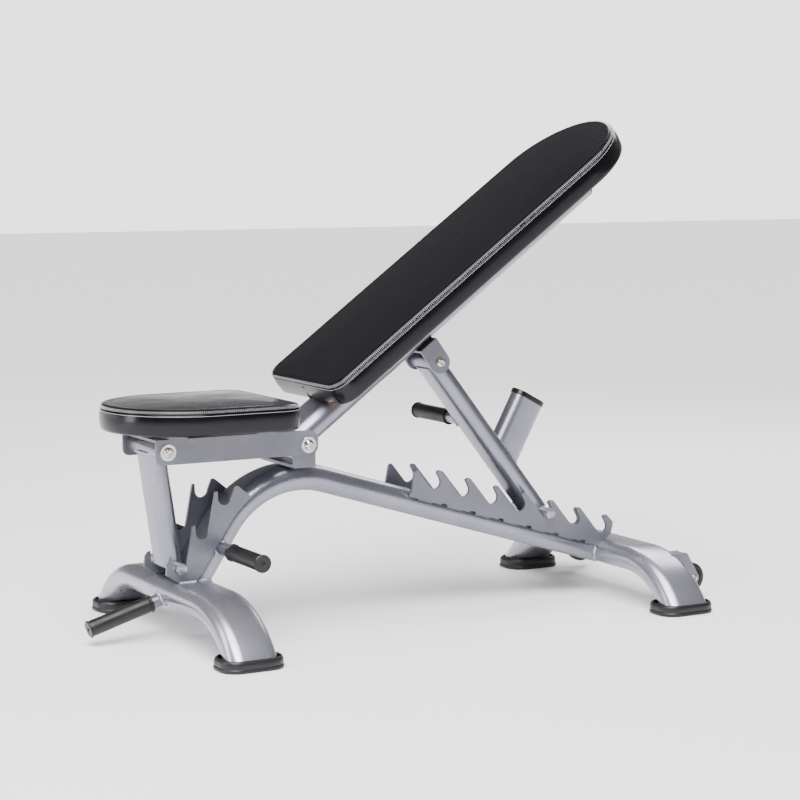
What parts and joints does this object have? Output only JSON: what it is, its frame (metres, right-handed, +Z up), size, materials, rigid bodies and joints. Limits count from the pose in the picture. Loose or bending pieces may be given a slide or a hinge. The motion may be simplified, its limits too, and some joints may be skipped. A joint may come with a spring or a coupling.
{
  "type": "adjustable weight bench",
  "caption": "Adjustable weight bench: arched flat-oval steel frame on two curved legs, tilting seat and reclining back on notched ladder plates, black padded upholstery, transport wheels.",
  "frame": {"origin": "on the floor, at the middle of the bench's length and width", "axes": "+Z up, -X towards the front where the lifter's feet go, +X towards the transport wheels, Y across the bench"},
  "size_m": [1.2684, 0.6766, 0.9836],
  "materials": {
    "frame_paint": "silver-grey powder coat, fine metallic",
    "plate_paint": "silver-grey powder coat on flat plate",
    "fasteners": "bright zinc-plated button-head bolts, nuts and washers",
    "crossbar_steel": "silver powder coat, worn by the notches",
    "bush_plastic": "grey nylon thrust bush",
    "rubber": "black moulded rubber",
    "vinyl": "glossy black upholstery vinyl with white stitching",
    "plywood": "plywood board inside the pad's underside",
    "black_plastic": "black moulded plastic plug or cap"
  },
  "bodies": {
    "root": {"front_leg_tube": "frame_paint", "rear_leg_tube": "frame_paint", "spine_tube": "frame_paint", "front_leg_boot_left": "rubber", "front_leg_boot_right": "rubber", "rear_leg_boot_left": "rubber", "rear_leg_boot_right": "rubber", "seat_ladder_plate_left": "plate_paint", "seat_ladder_plate_right": "plate_paint", "back_ladder_plate_left": "plate_paint", "back_ladder_plate_right": "plate_paint", "pivot_bracket": "plate_paint", "front_handle_tube": "frame_paint", "front_handle_grip": "rubber", "side_handle_left_tube": "frame_paint", "side_handle_left_grip": "rubber", "side_handle_right_tube": "frame_paint", "side_handle_right_grip": "rubber", "wheel_bracket_left": "plate_paint", "wheel_bracket_right": "plate_paint", "wheel_axle_left": "fasteners", "wheel_axle_right": "fasteners", "main_pivot_bolt": "fasteners", "main_pivot_nut": "fasteners", "main_pivot_washer_left": "fasteners", "main_pivot_washer_right": "fasteners", "thrust_bush_left": "bush_plastic", "thrust_bush_right": "bush_plastic"},
    "seat": {"seat_bracket": "plate_paint", "seat_mount_plate_front": "plate_paint", "seat_mount_plate_rear": "plate_paint", "seat_board": "plywood", "seat_pad": "vinyl", "seat_strut_bolt": "fasteners", "seat_strut_nut": "fasteners", "seat_strut_washer_left": "fasteners", "seat_strut_washer_right": "fasteners"},
    "seat_strut": {"seat_strut_tube": "frame_paint", "seat_strut_sleeve": "frame_paint", "seat_strut_crossbar": "crossbar_steel"},
    "back": {"back_frame_tube": "frame_paint", "back_pivot_sleeve": "frame_paint", "back_mount_plate_lower": "plate_paint", "back_mount_plate_upper": "plate_paint", "back_board": "plywood", "back_pad": "vinyl", "back_tube_plug": "black_plastic", "strut_bracket": "plate_paint", "back_strut_bolt": "fasteners", "back_strut_nut": "fasteners"},
    "back_strut": {"back_strut_tube": "frame_paint", "back_strut_sleeve": "frame_paint", "back_strut_crossbar": "crossbar_steel", "post_tube": "frame_paint", "post_cap": "black_plastic", "strut_handle_tube": "frame_paint", "strut_handle_grip": "rubber"},
    "wheel_left": {"wheel_left": "rubber"},
    "wheel_right": {"wheel_right": "rubber"}
  },
  "joints": [
    {"name": "seat_tilt", "type": "hinge", "parent": "root", "child": "seat", "pos_m": [-0.21161, 0, 0.3625], "axis": [0, 1, 0], "range_deg": [0, 16]},
    {"name": "seat_strut_swing", "type": "hinge", "parent": "seat", "child": "seat_strut", "pos_m": [-0.50111, 0, 0.3665], "axis": [0, 1, 0], "range_deg": [-16.5, 0]},
    {"name": "back_tilt", "type": "hinge", "parent": "root", "child": "back", "pos_m": [-0.21161, 0, 0.3625], "axis": [0, -1, 0], "range_deg": [0, 28]},
    {"name": "back_strut_swing", "type": "hinge", "parent": "back", "child": "back_strut", "pos_m": [0.0982, 0, 0.50231], "axis": [0, -1, 0], "range_deg": [-31.5, 0]},
    {"name": "wheel_left_spin", "type": "hinge", "parent": "root", "child": "wheel_left", "pos_m": [0.60319, -0.2, 0.049], "axis": [0, 1, 0], "continuous": true},
    {"name": "wheel_right_spin", "type": "hinge", "parent": "root", "child": "wheel_right", "pos_m": [0.60319, 0.2, 0.049], "axis": [0, 1, 0], "continuous": true}
  ],
  "couplings": [
    {"joint": "seat_strut_swing", "follows": "seat_tilt", "ratio": -1},
    {"joint": "back_strut_swing", "follows": "back_tilt", "ratio": -1.1}
  ]
}
